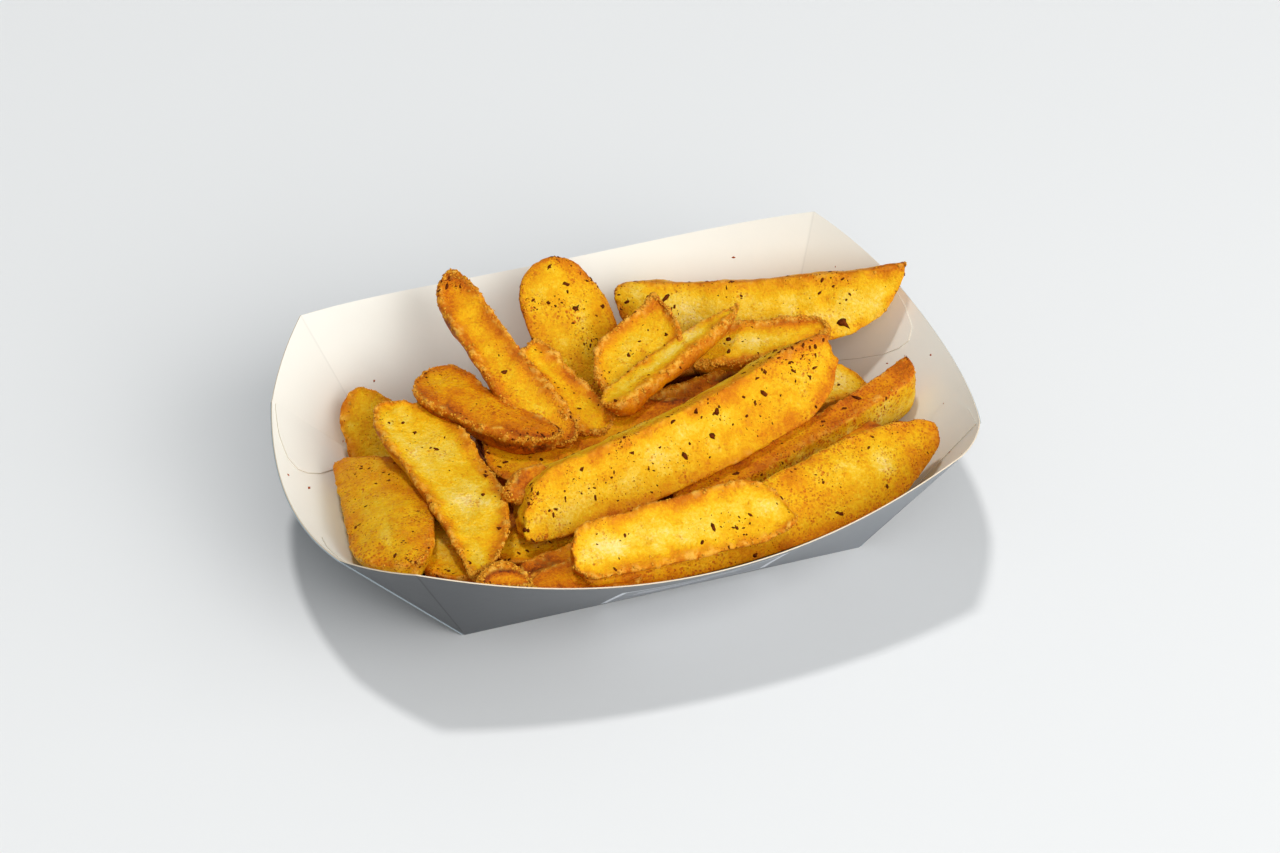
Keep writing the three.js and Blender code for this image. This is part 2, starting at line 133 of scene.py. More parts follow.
WEDGES = (
    Wedge("long_middle", (-38.5, -34, 38), (58.5, -2.5, 40), 18.5, 20, 45, ridge=0.85,
          ends=((0.16, -0.8), (0.18, 0.6)), bow=-3.4, taper=0.1,
          tone=0.3, skin_and_shade_tone=-0.02, crust=0.3, dust=0.7, flakes=1.3, dish=0.3, ragged=2.2),
    Wedge("long_back", (12, 43, 33.5), (85.5, 19.5, 37), 17, 16, 42, ridge=0.9,
          ends=((0.1, 0.7), (0.3, 1)), bow=-2, taper=0.25, crown=1,
          tone=0.22, crust=0.5, dust=0.5, flakes=0.6, dish=0),
    Wedge("long_right", (3, -29, 27), (79.5, -2, 32), 7, 13, 10, ridge=-1.1,
          ends=((0.1, -0.6), (0.07, 1)), bow=-1.4, taper=-0.1,
          tone=0.44, skin_and_shade_tone=-0.3, crust=0.5, dust=1.4, flakes=2.5, dish=0.2),
    Wedge("skin_right", (-29, -55.5, 33), (75, -31, 33), 20, 14, 38,
          ends=((0.55, -0.1), (0.32, 0.1)), bow=-4.2, taper=0.3, crown=3,
          tone=0.32, skin_and_shade_tone=-0.2, crust=0.35, dust=1, flakes=0.6, dish=0),
    Wedge("pale_front", (-31.2, -52.7, 38), (26.3, -50.2, 38), 16.5, 10, 28,
          ends=((0.1, -0.4), (0.19, -0.5)), taper=0.2,
          tone=0.21, crust=0.75, dust=0.35, flakes=0.8, dish=0.5, ragged=1),
    Wedge("pale_left", (-48, -50, 37), (-55.5, 20, 37), 20, 13, 5,
          ends=((0.5, 1), (0.18, 0.4)), bow=-1.9, taper=0.1,
          tone=0.19, crust=0.9, dust=0.4, flakes=1, dish=0.5),
    Wedge("block_left", (-74, -42, 36.5), (-64.5, 13.5, 27), 22.5, 14, -10,
          ends=((0.3, -0.5), (0.35, 0.8)), bow=-0.8, taper=0.1, crown=2,
          tone=0.36, skin_and_shade_tone=-0.2, crust=0.5, dust=1, flakes=1, dish=0, ragged=1.5),
    Wedge("leaf_left", (-62.5, 14, 10), (-61, 36.5, 30), 17, 8,
          ends=((0.2, 0), (0.35, 0)), bow=-2, crown=1,
          tone=0.28, crust=0.7, dust=0.4, flakes=0.3, dish=0.6),
    Wedge("curl_left", (-45.5, 28.5, 38), (-20, -5.5, 36), 17, 8, -10,
          ends=((0.17, 0), (0.24, 0.3)), bow=-3, taper=-0.5, crown=1,
          tone=0.5, crust=1, dust=1.1, flakes=1, dish=0),
    Wedge("stick_back", (-17, -5, 33), (-33, 51.5, 50), 12.5, 10, -8,
          ends=((0.14, -0.1), (0.2, -0.3)), bow=1.2, taper=-0.2,
          tone=0.4, crust=1, dust=0.7, flakes=0.6, dish=0.6),
    Wedge("round_back", (-5.5, 18.5, 22), (-9.5, 53.5, 47), 25, 12, 4,
          ends=((0.55, -0.9), (0.55, -0.5)), bow=-5.8, taper=0.5, crown=3,
          tone=0.37, crust=0.4, dust=1.1, flakes=2, dish=0),
    Wedge("short_back", (-5.5, -1, 31), (-17, 29, 40), 12.5, 10, 10,
          ends=((0.24, 0.1), (0.08, -0.5)), bow=1.3, taper=-0.5,
          tone=0.28, crust=1.4, dust=0.2, flakes=0.7, dish=0.6, ragged=1),
    Wedge("fold_face", (-3, 9.5, 35), (24, 25, 42), 20, 14, 12,
          ends=((0.4, -0.7), (0.5, 1)), bow=1.2,
          tone=0.22, crust=1.4, dust=0.5, flakes=0.8, dish=0.8),
    Wedge("fold_ridge", (-4.5, 3.5, 36.5), (39.5, 25, 42), 8, 5.5, -5, ridge=-0.8,
          ends=((0.17, -0.1), (0.55, 0)), bow=0.5, taper=-0.2,
          tone=0.1, skin_and_shade_tone=0.3, crust=0.8, dust=0.3, flakes=1, dish=0.2),
    Wedge("flat_back", (25, 21, 35.5), (63, 20, 33.5), 12, 16, 15,
          ends=((0.4, -0.9), (0.16, -0.3)), bow=-1.9, taper=-0.5,
          tone=0.16, crust=1.4, dust=0.5, flakes=0.8, dish=0.3, ragged=1),
    # Its deep tone is partly painted shade, where it lies between the wedges around it.
    Wedge("dark_middle", (4, 4.5, 29), (37, 13, 28), 7, 11, 30,
          ends=((0.15, 0), (0.14, 0.3)), taper=-0.4,
          tone=0.62, crust=0.9, dust=0.3, flakes=0.6, dish=0.3),
    Wedge("stub_right", (30, -1, 27), (69, 11.5, 22), 12, 12, 20,
          ends=((0.2, 0), (0.15, -0.6)), tone=0.16, crust=0.6, dust=0.3, flakes=0.4),
    Wedge("stub_middle", (-39, -1, 32), (-4, -16, 29), 19, 12,
          ends=((0.25, 0.6), (0.2, 0)), tone=0.5, crust=0.5, dust=0.8, flakes=1, dish=0),
    Wedge("tucked_left", (-58.5, -47, 33), (-52.5, -7, 27), 15, 12,
          ends=((0.23, -0.5), (0.5, 0)), taper=-0.4,
          tone=0.28, crust=0.6, dust=0.5, flakes=1.2, dish=0.2),
    Wedge("tucked_middle", (-47, -36, 29), (-14, -28, 26), 15, 12,
          ends=((0.3, 0.2), (0.2, 0)), tone=0.36, crust=0.5, dust=0.4, flakes=0.8, dish=0.2),
    Wedge("thin_front", (-43.5, -49, 33), (-12, -40, 30), 6.5, 12,
          ends=((0.12, -0.6), (0.2, 0.4)), tone=0.5, crust=0.7, dust=0.3, flakes=0.5, dish=0.2),
    Wedge("rough_rim", (-56, -57, 38), (-44, -58.5, 38), 8.5, 15, 10, ridge=2.5,
          ends=((0.4, 0.5), (0.4, -0.2)), bow=2,
          tone=0.5, crust=1.3, dust=0.3, flakes=0.5, dish=0),
    Wedge("stub_rim", (-42.5, -54, 33), (-14, -54, 31), 11.5, 10, 10,
          ends=((0.4, -0.3), (0.16, -0.3)), tone=0.5, crust=0.7, dust=0.4, flakes=1.2, dish=0.2),
    # The low wedges' deep tones are painted shade for the gaps under the wedges above them.
    Wedge("low_left", (-60, -30, 19), (-55, 30, 18), 20, 13,
          ends=((0.3, 0), (0.25, 0)), tone=0.65, grid=COARSE_GRID),
    Wedge("low_back", (-22, 34, 28), (58, 28, 27), 20, 16, 10,
          ends=((0.25, 0.3), (0.3, 0)), tone=0.62, grid=COARSE_GRID),
    Wedge("low_middle", (-38, 8, 29), (26, -8, 33), 20, 16, 5,
          ends=((0.25, 0), (0.2, 0.4)), tone=0.62, grid=COARSE_GRID),
    Wedge("low_right", (10, -16, 27), (68, -18, 25), 18, 14, 15,
          ends=((0.2, 0), (0.3, -0.3)), tone=0.62, grid=COARSE_GRID),
    Wedge("low_front", (-57, -43, 26), (52, -40, 25), 18, 15, 10,
          ends=((0.2, 0), (0.3, 0)), tone=0.6, grid=COARSE_GRID),
    Wedge("hook_middle", (-39.5, -27, 37.5), (-27, -22.5, 41), 6.5, 6, 30,
          ends=((0.4, 0.6), (0.3, 0)), bow=1.2, crown=1,
          tone=0.45, crust=1, dust=0.8, flakes=1, dish=0, ragged=1.5),
)

# The largest flakes: the wedge each lies on, its share of the way from the wedge's start to its
# end, its share of the way across the widest face, and its size.
LARGE_FLAKES = (
    ("long_middle", 0.57, 0.5, 2), ("long_middle", 0.76, 0.88, 1.6), ("long_middle", 0.79, 0.93, 1.3),
    ("long_middle", 0.72, 0.6, 1.3), ("long_middle", 0.9, 0.5, 1.5), ("long_middle", 0.2, 0.85, 1.5),
    ("long_middle", 0.86, 0.7, 1.2), ("round_back", 0.8, 0.43, 1.7), ("round_back", 0.63, 0.45, 1.9),
    ("round_back", 0.93, 0.55, 1.5), ("round_back", 0.6, 0.12, 1.3), ("round_back", 0.72, 0.7, 1.2),
    ("long_back", 0.78, 0.2, 3), ("long_back", 0.17, 0.75, 1.8), ("fold_face", 0.8, 0.3, 1.2),
    ("long_right", 0.7, 0.6, 1.5), ("long_right", 0.6, 0.5, 1.2), ("skin_right", 0.66, 0.2, 1.9),
    ("skin_right", 0.42, 0.1, 1.6), ("pale_front", 0.75, 0.3, 1.2), ("pale_left", 0.83, 0.55, 1.4),
    ("pale_left", 0.2, 0.15, 1.4), ("stick_back", 0.45, 0.6, 1.6), ("stub_rim", 0.5, 0.7, 1.8),
    ("tucked_left", 0.3, 0.3, 1.4), ("block_left", 0.7, 0.4, 1.3), ("stub_middle", 0.4, 0.5, 1.3),
)

# The mound under the wedges, deep brown as painted shade in the gaps between them.
CORE_CENTRE = (-2, -4, 3)
CORE_HALF = (60, 40, 23)
CORE_STEPS = (110, 50)  # around and up
CORE_POLE = 0.49 * np.pi  # where its first and last rings lie, as angles from its middle
CORE_LUMPS = ((1.6, 9, 0), (0.7, 4, 1))
CORE_TONE, CORE_DUST = 0.8, 0.3


# ---- numbers ----

def hashed(cells, seed):
    """A repeatable number from -1 to 1 for each row of whole numbers."""
    mixed = cells @ np.array([374761393, 668265263, 2147483629]) + seed * 974711
    mixed = (mixed ^ (mixed >> 13)) * 1274126177
    return ((mixed ^ (mixed >> 16)) & 0xFFFFFF) / 0x7FFFFF - 1


def noise(points, size, seed=0):
    """Smooth noise from about -1 to 1, whose lumps are about size across."""
    scaled = points / size
    cell = np.floor(scaled).astype(np.int64)
    part = scaled - cell
    ease = part * part * (3 - 2 * part)
    total = np.zeros(len(points))
    for corner in itertools.product((0, 1), repeat=3):
        weight = np.prod(np.where(corner, ease, 1 - ease), axis=1)
        total += weight * hashed(cell + np.array(corner), seed)
    return total


def layered(points, layers):
    """Noise of several sizes, from (height, size, seed) layers."""
    return sum(height * noise(points, size, seed) for height, size, seed in layers)


def unit(vectors):
    lengths = np.linalg.norm(vectors, axis=-1, keepdims=True)
    return vectors / np.maximum(lengths, 1e-9)


def lerp(a, b, share):
    return a + (b - a) * share


def arch(share):
    """0 at both ends of a share that runs from 0 to 1, and 1 in its middle."""
    return 4 * share * (1 - share)


# ---- meshes ----

def piece(name, points, faces, materials, node, attributes=None, indices=None):
    """A mesh object from points in millimetres, which rides on the root and stands for a node.

    The attributes hold a number for each point, and the indices a material for each face."""
    mesh = bpy.data.meshes.new(name)
    mesh.from_pydata((np.asarray(points) * MM).tolist(), [], faces)
    for material in materials:
        mesh.materials.append(material)
    if indices is not None:
        mesh.polygons.foreach_set("material_index", indices)
    mesh.polygons.foreach_set("use_smooth", [True] * len(mesh.polygons))
    for key, values in (attributes or {}).items():
        layer = mesh.attributes.new(key, "FLOAT", "POINT")
        layer.data.foreach_set("value", np.asarray(values, dtype=np.float32))
    mesh.validate()
    mesh.update()
    made = bpy.data.objects.new(name, mesh)
    bpy.context.collection.objects.link(made)
    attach(made, "root")
    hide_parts(node)
    return made


def grid_faces(rows, columns, closed, start=0):
    """Quads over rows of points, which run on round to the first column if closed."""
    faces = []
    for i in range(rows - 1):
        for j in range(columns if closed else columns - 1):
            k = (j + 1) % columns
            faces.append((start + i * columns + j, start + i * columns + k,
                          start + (i + 1) * columns + k, start + (i + 1) * columns + j))
    return faces


def capped(points, columns):
    """Rings of so many points with a middle point added at either end, and a closed tube's faces."""
    rows = len(points) // columns
    first, last = len(points), len(points) + 1
    base = (rows - 1) * columns
    faces = grid_faces(rows, columns, True)
    faces += [((j + 1) % columns, j, first) for j in range(columns)]
    faces += [(base + j, base + (j + 1) % columns, last) for j in range(columns)]
    middles = [points[:columns].mean(axis=0), points[-columns:].mean(axis=0)]
    return np.concatenate([points, middles]), faces


def turn_outwards(made):
    """Turns every face of a closed mesh outwards."""
    work = bmesh.new()
    work.from_mesh(made.data)
    bmesh.ops.recalc_face_normals(work, faces=work.faces)
    if work.calc_volume(signed=True) < 0:
        bmesh.ops.reverse_faces(work, faces=work.faces)
    work.to_mesh(made.data)
    work.free()


# ---- material nodes ----

NOISE_RANGE = (0.3, 0.7)  # Blender's noise mostly stays within this


class Tree:
    """A new material, its shader, and short ways to add nodes to it."""

    def __init__(self, name):
        self.material = bpy.data.materials.new(name)
        self.material.use_nodes = True
        self.nodes = self.material.node_tree.nodes
        self.links = self.material.node_tree.links
        self.shader = self.nodes["Principled BSDF"]

    def add(self, kind, inputs=None, **settings):
        made = self.nodes.new(kind)
        for key, value in settings.items():
            setattr(made, key, value)
        for key, value in (inputs or {}).items():
            self.put(made.inputs[key], value)
        return made

    def put(self, socket, value):
        if isinstance(value, bpy.types.NodeSocket):
            self.links.new(value, socket)
        else:
            socket.default_value = value

    def set(self, **values):
        """Values or links on the shader's own sockets, with _ for a space."""
        for key, value in values.items():
            self.put(self.shader.inputs[key.replace("_", " ")], value)

    def place(self):
        return self.add("ShaderNodeTexCoord").outputs["Object"]

    def attribute(self, name):
        return self.add("ShaderNodeAttribute", attribute_name=name).outputs["Fac"]

    def noise(self, size, detail=2.0, roughness=0.5):
        """Noise from 0 to 1, whose lumps are about size millimetres across."""
        made = self.add("ShaderNodeTexNoise", {
            "Vector": self.place(), "Scale": 1 / (size * MM), "Detail": detail, "Roughness": roughness})
        return made.outputs["Fac"]

    def spread(self, noise, low, high):
        """The noise, spread out from low to high."""
        return self.fit(noise, *NOISE_RANGE, low, high)

    def lit(self, color, lightness):
        """The colour times a lightness."""
        grey = self.add(
            "ShaderNodeCombineColor", {"Red": lightness, "Green": lightness, "Blue": lightness})
        return self.mix(1.0, color, grey.outputs["Color"], "MULTIPLY")

    def math(self, operation, *values, clamp=False):
        made = self.add("ShaderNodeMath", operation=operation, use_clamp=clamp)
        for socket, value in zip(made.inputs, values):
            self.put(socket, value)
        return made.outputs[0]

    def fit(self, value, low, high, to_low=0.0, to_high=1.0):
        made = self.add("ShaderNodeMapRange", {
            "Value": value, "From Min": low, "From Max": high, "To Min": to_low, "To Max": to_high})
        return made.outputs["Result"]

    def mix(self, share, first, second, blend="MIX"):
        made = self.add("ShaderNodeMix", data_type="RGBA", blend_type=blend)
        self.put(made.inputs["Factor"], share)
        for socket, value in zip((s for s in made.inputs if s.type == "RGBA"), (first, second)):
            self.put(socket, value)
        return next(s for s in made.outputs if s.type == "RGBA")

    def ramp(self, value, *stops):
        made = self.add("ShaderNodeValToRGB", {"Fac": value})
        elements = made.color_ramp.elements
        while len(elements) < len(stops):
            elements.new(0.5)
        for element, (position, color) in zip(elements, stops):
            element.position = position
            element.color = color
        return made.outputs["Color"]

    def bump(self, *layers):
        """Bump from (height from 0 to 1, millimetres) pairs, one on another."""
        normal = None
        for height, depth in layers:
            made = self.add("ShaderNodeBump", {"Height": height, "Distance": depth * MM})
            if normal:
                self.links.new(normal, made.inputs["Normal"])
            normal = made.outputs["Normal"]
        self.set(Normal=normal)


def srgb(red, green, blue):
    """A linear colour with alpha from screen values of 0 to 255."""
    def linear(value):
        share = value / 255
        return share / 12.92 if share <= 0.04045 else ((share + 0.055) / 1.055) ** 2.4
    return (linear(red), linear(green), linear(blue), 1.0)


# ---- materials ----

def potato():
    """Fried potato. Its attributes: tone runs from pale to brown, rim marks the crusty edges,
    bead their lumps, and dust the paprika, which lies as smudges and as grains of two sizes."""
    tree = Tree("fried_potato")
    patch = tree.noise(5, 4, 0.6)
    grain = tree.noise(0.8, 3, 0.7)
    tone = tree.math("ADD", tree.attribute("tone"), tree.spread(patch, -0.1, 0.12))
    tone = tree.math("ADD", tone, tree.spread(grain, -0.12, 0.12))
    flesh = tree.ramp(tone, *FLESH_COLORS)
    bead = tree.math("ADD", tree.attribute("bead"), tree.spread(grain, -0.35, 0.35))
    crust = tree.ramp(bead, *CRUST_COLORS)
    crusty = tree.math("ADD", tree.attribute("rim"), tree.spread(patch, -0.3, 0.3))
    color = tree.mix(tree.fit(crusty, 0.15, 0.85, 0.0, 0.85), flesh, crust)

    cover = tree.math("ADD", tree.attribute("dust"), tree.spread(tree.noise(3.5, 3, 0.6), -0.9, 0.35))
    cover = tree.math("MULTIPLY", cover, 0.9, clamp=True)
    smudges = tree.fit(tree.noise(1.8, 3, 0.75), 0.56, 0.68, 0.0, 0.7)
    color = tree.mix(tree.math("MULTIPLY", smudges, cover), color, SMUDGE_COLOR)
    for spacing, grain_color in GRAIN_COLORS.items():
        color = tree.mix(powder(tree, cover, spacing), color, grain_color)
    tree.set(Base_Color=color, Roughness=tree.spread(patch, 0.4, 0.6))
    tree.set(Specular_IOR_Level=0.12, Subsurface_Weight=0.1, Subsurface_Scale=0.002)
    tree.set(Subsurface_Radius=(1.0, 0.42, 0.08))
    tree.bump((tree.noise(0.6, 2, 0.6), 0.2), (grain, 0.4))
    return tree.material


def powder(tree, cover, spacing):
    """How much of each place is under grains of paprika that lie about spacing millimetres apart."""
    cells = tree.add("ShaderNodeTexVoronoi", {"Vector": tree.place(), "Scale": 1 / (spacing * MM)})
    grains = tree.fit(cells.outputs["Distance"], GRAIN_REACH, GRAIN_REACH * 0.5)
    return tree.math("MULTIPLY", grains, cover)


def board(name, color, mottle, roughness, fold_shade=0.0):
    """Paperboard: a faint mottle, painted shade along its folds and the fine tooth of its fibres."""
    tree = Tree(name)
    light = tree.fit(tree.noise(9, 4, 0.6), 0.25, 0.75, 1 - mottle, 1.0)
    # Painted shade: the board darkens along its folds.
    light = tree.math("SUBTRACT", light, tree.math("MULTIPLY", tree.attribute("fold_shade"), fold_shade))
    tree.set(Base_Color=tree.lit(color, light), Roughness=roughness, Specular_IOR_Level=0.3)
    tree.bump((tree.noise(0.5, 3, 0.7), 0.01), (tree.noise(5, 2), 0.04))
    return tree


def shaded_printed_board():
    """The outside: a grey with painted shade, darker towards one end of each long wall and lighter
    towards the other, and on it a pale field with a border and two bars."""
    tree = board("board_outside", OUTSIDE_GREY, 0.05, 0.42, fold_shade=0.65)
    along = tree.attribute("along")
    height = tree.math("MULTIPLY", tree.attribute("share"), WALL_SLANT)

    def within(left, right, low, high):
        inside = 1.0
        for operation, value, bound in (("GREATER_THAN", along, left), ("LESS_THAN", along, right),
                                        ("GREATER_THAN", height, low), ("LESS_THAN", height, high)):
            inside = tree.math("MULTIPLY", inside, tree.math(operation, value, bound))
        return inside

    color = tree.shader.inputs["Base Color"].links[0].from_socket
    # Painted shade: darker towards the left end of the front wall and the right end of the back wall.
    color = tree.lit(color, tree.fit(along, -PAINTED_SHADE_HALF, PAINTED_SHADE_HALF, *PAINTED_SHADE_LIGHT))
    color = tree.mix(within(*PRINT_FIELD), color, PRINT_PALE)
    inset = (PRINT_BORDER, -PRINT_BORDER, PRINT_BORDER, -PRINT_BORDER)
    color = tree.mix(within(*np.add(PRINT_FIELD, inset).tolist()), color, PRINT_GREY)
    for bar in PRINT_BARS:
        color = tree.mix(within(*bar), color, PRINT_PALE)
    tree.set(Base_Color=color)
    return tree.material


def speckled(name, color, size, depth):
    """A dull colour with darker lumps of that size and depth."""
    tree = Tree(name)
    light = tree.spread(tree.noise(size, 2), 1 - depth, 1.0)
    tree.set(Base_Color=tree.lit(color, light), Roughness=0.7, Specular_IOR_Level=0.05)
    return tree.material


FLESH_COLORS = (
    (0.0, srgb(250, 221, 136)), (0.15, srgb(245, 205, 70)), (0.3, srgb(240, 186, 18)),
    (0.45, srgb(233, 163, 4)), (0.6, srgb(221, 134, 2)), (0.75, srgb(198, 103, 2)),
    (0.88, srgb(156, 70, 3)), (1.0, srgb(100, 40, 5)),
)
CRUST_COLORS = ((0.0, srgb(196, 102, 6)), (0.35, srgb(226, 144, 20)), (0.8, srgb(246, 186, 74)))
SMUDGE_COLOR = srgb(212, 112, 10)
GRAIN_COLORS = {1.3: srgb(206, 106, 8), 0.8: srgb(180, 80, 6)}  # by the grains' spacing
GRAIN_REACH = 0.42  # of that spacing
OUTSIDE_GREY = srgb(104, 107, 111)
PRINT_PALE = srgb(214, 218, 224)
PRINT_GREY = srgb(134, 138, 144)
POTATO = potato()
BOARD_INSIDE = board("board_inside", srgb(240, 237, 226), 0.02, 0.5, fold_shade=0.1).material
BOARD_OUTSIDE = shaded_printed_board()
BOARD_OUTSIDE_PLAIN = board("board_outside_plain", OUTSIDE_GREY, 0.05, 0.42).material
BOARD_EDGE = board("board_edge", srgb(226, 210, 184), 0.08, 0.8).material
TONGUE_EDGE = board("tongue_edge", srgb(214, 204, 186), 0.08, 0.8).material
FLAP_EDGE = board("flap_edge", srgb(176, 188, 194), 0.08, 0.8).material
PEPPER = speckled("pepper", srgb(122, 54, 14), 0.5, 0.6)
PAPRIKA = speckled("paprika", srgb(190, 84, 12), 0.4, 0.5)
CRUMB = speckled("crumb", srgb(240, 168, 50), 0.5, 0.35)


# ---- the tray ----

def end_spoke(across):
    """Foot and rim of the right end's wall, from its middle at 0 to its front fold at 1."""
    rim = lerp(END_MIDDLE, END_FOLD, across * across)
    return (FLOOR_HALF[0], -FLOOR_HALF[1] * across, 0), (rim[0], -END_FOLD[1] * across, rim[2])


def quarter_spokes():
    """Feet and rims of the wall, from the middle of the front to the middle of the right."""
    spokes = []
    half_length, half_width = FLOOR_HALF
    for along in (*np.linspace(0, 1 - CREASE_HALF / FOLD_HALF_LENGTH, TRAY_STEPS["wall"]), 1):
        lean = math.radians(lerp(LEAN_AT_MIDDLE, LEAN_AT_FOLD, along * along))
        rim = (along * FOLD_HALF_LENGTH, -half_width - WALL_SLANT * math.sin(lean),
               WALL_SLANT * math.cos(lean))
        spokes.append(((along * half_length, -half_width, 0), rim))
    wall_fold = np.array(spokes[-1][1])
    end_fold = END_FOLD * (1, -1, 1)
    outwards = unit(np.array([1.0, -1.0, 0.0]))
    crease_share = CREASE_HALF / np.linalg.norm(end_fold - wall_fold)
    for across in np.linspace(crease_share, 1, TRAY_STEPS["gusset"]):
        rim = lerp(wall_fold, end_fold, across) + outwards * GUSSET_SWELL * arch(across)
        spokes.append(((half_length, -half_width, 0), tuple(rim)))
    spokes += [end_spoke(1 - i / TRAY_STEPS["end"]) for i in range(1, TRAY_STEPS["end"] + 1)]
    return np.array(spokes, dtype=float)


def all_spokes():
    """All the way round, anticlockwise from above: spoke, foot or rim, x y z."""
    quarter = quarter_spokes()
    right = np.concatenate([quarter, (quarter * (1, -1, 1))[::-1][1:]])
    return np.concatenate([right, (right * (-1, 1, 1))[::-1][1:-1]])


def inset_spokes(spokes, inset, height, reach=1.0):
    """The spokes moved inwards, with their feet on the plane z = height and those of a gusset
    on one corner, and reaching that share of their slopes."""
    feet, rims = spokes[:, 0], spokes[:, 1]
    slopes = rims - feet
    along = np.roll(rims, -1, axis=0) - np.roll(rims, 1, axis=0)
    start = feet - unit(np.cross(along, slopes)) * inset
    feet_in = start + slopes * ((height - start[:, 2]) / slopes[:, 2])[:, None]
    at_corner = np.isclose(np.abs(feet[:, :2]), FLOOR_HALF).all(axis=1)
    corner = np.abs(feet_in[~at_corner, :2]).max(axis=0)
    feet_in[at_corner, :2] = np.sign(feet[at_corner, :2]) * corner
    return np.stack([feet_in, start + slopes * reach], axis=1)


def wall_rows(spokes, steps):
    """Rows of points up the wall, from the feet to the rims."""
    shares = np.linspace(0, 1, steps + 1)
    return np.array([lerp(spokes[:, 0], spokes[:, 1], share) for share in shares])


SPOKES = all_spokes()


def tray_shell():
    """Floor, walls and gussets in one board: grey outside, pale inside, raw along the rim."""
    steps = TRAY_STEPS["height"]
    count = len(SPOKES)
    outer = wall_rows(SPOKES, steps)
    inner = wall_rows(inset_spokes(SPOKES, BOARD, BOARD), steps)
    middles = [(0, 0, 0), (0, 0, BOARD)]
    points = np.concatenate([outer.reshape(-1, 3), inner.reshape(-1, 3), middles])
    first_inner = (steps + 1) * count
    under, over = 2 * first_inner, 2 * first_inner + 1
    outside = grid_faces(steps + 1, count, True)
    inside = [face[::-1] for face in grid_faces(steps + 1, count, True, first_inner)]
    top = steps * count
    rim = [(top + i, top + (i + 1) % count, first_inner + top + (i + 1) % count, first_inner + top + i)
           for i in range(count)]
    outside += [((i + 1) % count, i, under) for i in range(count)]
    inside += [(first_inner + i, first_inner + (i + 1) % count, over) for i in range(count)]
    along = points[:, 0] * np.where(points[:, 1] > 0, -1, 1)
    beside_floor = np.abs(points[:, 1]) > FLOOR_HALF[1] + 0.5  # no print lies elsewhere
    shares = np.concatenate([np.repeat(np.linspace(0, 1, steps + 1), count)] * 2 + [[0, 0]])
    folded = np.isclose(np.abs(SPOKES[:, 1, 0]), FOLD_HALF_LENGTH)
    # The folds between the long walls and the gussets, where the board gets painted shade.
    shaded_folds = np.append(np.tile(folded, 2 * (steps + 1)), [False, False])
    made = piece(
        "tray_shell", points, outside + inside + rim, (BOARD_OUTSIDE, BOARD_INSIDE, BOARD_EDGE),
        "tray",
        attributes={"along": along, "share": np.where(beside_floor, shares, -1), "fold_shade": shaded_folds},
        indices=[0] * len(outside) + [1] * len(inside) + [2] * len(rim),
    )
    fold_sharply(made)


def fold_sharply(made):
    """Splits the shading along the folds, once the points that meet at a corner are one."""
    merge = made.modifiers.new("merge", "WELD")
    merge.merge_threshold = WELD_DISTANCE * MM
    bpy.context.view_layer.objects.active = made
    with bpy.context.temp_override(object=made):
        bpy.ops.object.modifier_apply(modifier=merge.name)
    made.data.set_sharp_from_angle(angle=math.radians(FOLD_ANGLE))


def sheet(name, rows, lift, thickness, face, border, mirror):
    """A thin sheet over rows of points on the right end's outer skin, lifted inwards and then
    mirrored by a sign for each axis. Its cut edge has the material border."""
    rows = np.array(rows, dtype=float)
    down = np.gradient(rows, axis=0)
    along = np.gradient(rows, axis=1)
    inwards = unit(np.cross(along, down))
    inwards *= np.where(inwards[..., :1] < 0, 1, -1)
    near = rows + inwards * lift
    far = rows + inwards * (lift + thickness)
    count_down, count_along = rows.shape[:2]
    offset = count_down * count_along
    points = np.concatenate([near.reshape(-1, 3), far.reshape(-1, 3)]) * mirror
    top = grid_faces(count_down, count_along, False, offset)
    bottom = [corners[::-1] for corners in grid_faces(count_down, count_along, False)]
    around = ([(0, j) for j in range(count_along)]
              + [(i, count_along - 1) for i in range(1, count_down)]
              + [(count_down - 1, j) for j in range(count_along - 2, -1, -1)]
              + [(i, 0) for i in range(count_down - 2, 0, -1)])
    ring = [i * count_along + j for i, j in around]
    edge = [(a, b, b + offset, a + offset) for a, b in zip(ring, ring[1:] + ring[:1])]
    made = piece(name, points, top + bottom + edge, (face, border), "tray",
                 indices=[0] * (len(top) + len(bottom)) + [1] * len(edge))
    turn_outwards(made)
    made.data.set_sharp_from_angle(angle=math.radians(SHEET_ANGLE))


def on_end(across, share):
    """A point on the right end's outer skin, at a share of its height."""
    foot, rim = (np.array(point) for point in end_spoke(across))
    return lerp(foot, rim, share)


def tongues():
    """The gussets' tongues, glued inside the ends."""
    columns = np.linspace(1, 0, TONGUE_STEPS["along"])
    corners = np.arange(len(TONGUE_OUTLINE))
    steps = np.linspace(0, corners[-1], TONGUE_STEPS["height"])
    heights, shares = (np.interp(steps, corners, values) for values in zip(*TONGUE_OUTLINE))
    rows = [[on_end(1 - TONGUE_REACH * share * part, height) for part in columns]
            for height, share in zip(heights, shares)]
    for side, x in ENDS:
        for wall, y in WALLS:
            sheet(f"tongue_{side}_{wall}", rows, BOARD, TONGUE_PLY, BOARD_INSIDE, TONGUE_EDGE, (x, y, 1))


def end_flaps():
    """The end panels' own ply over the gussets' folds, whose cut edges show at the corners."""
    rows = [[on_end(across, share) for across in np.linspace(1, -1, FLAP_STEPS["along"])]
            for share in np.linspace(FLAP_FOOT, 1, FLAP_STEPS["height"])]
    for side, x in ENDS:
        sheet(f"end_flap_{side}", rows, -PLY, FLAP_PLY, BOARD_OUTSIDE_PLAIN, FLAP_EDGE, (x, 1, 1))


# ---- the wedges ----

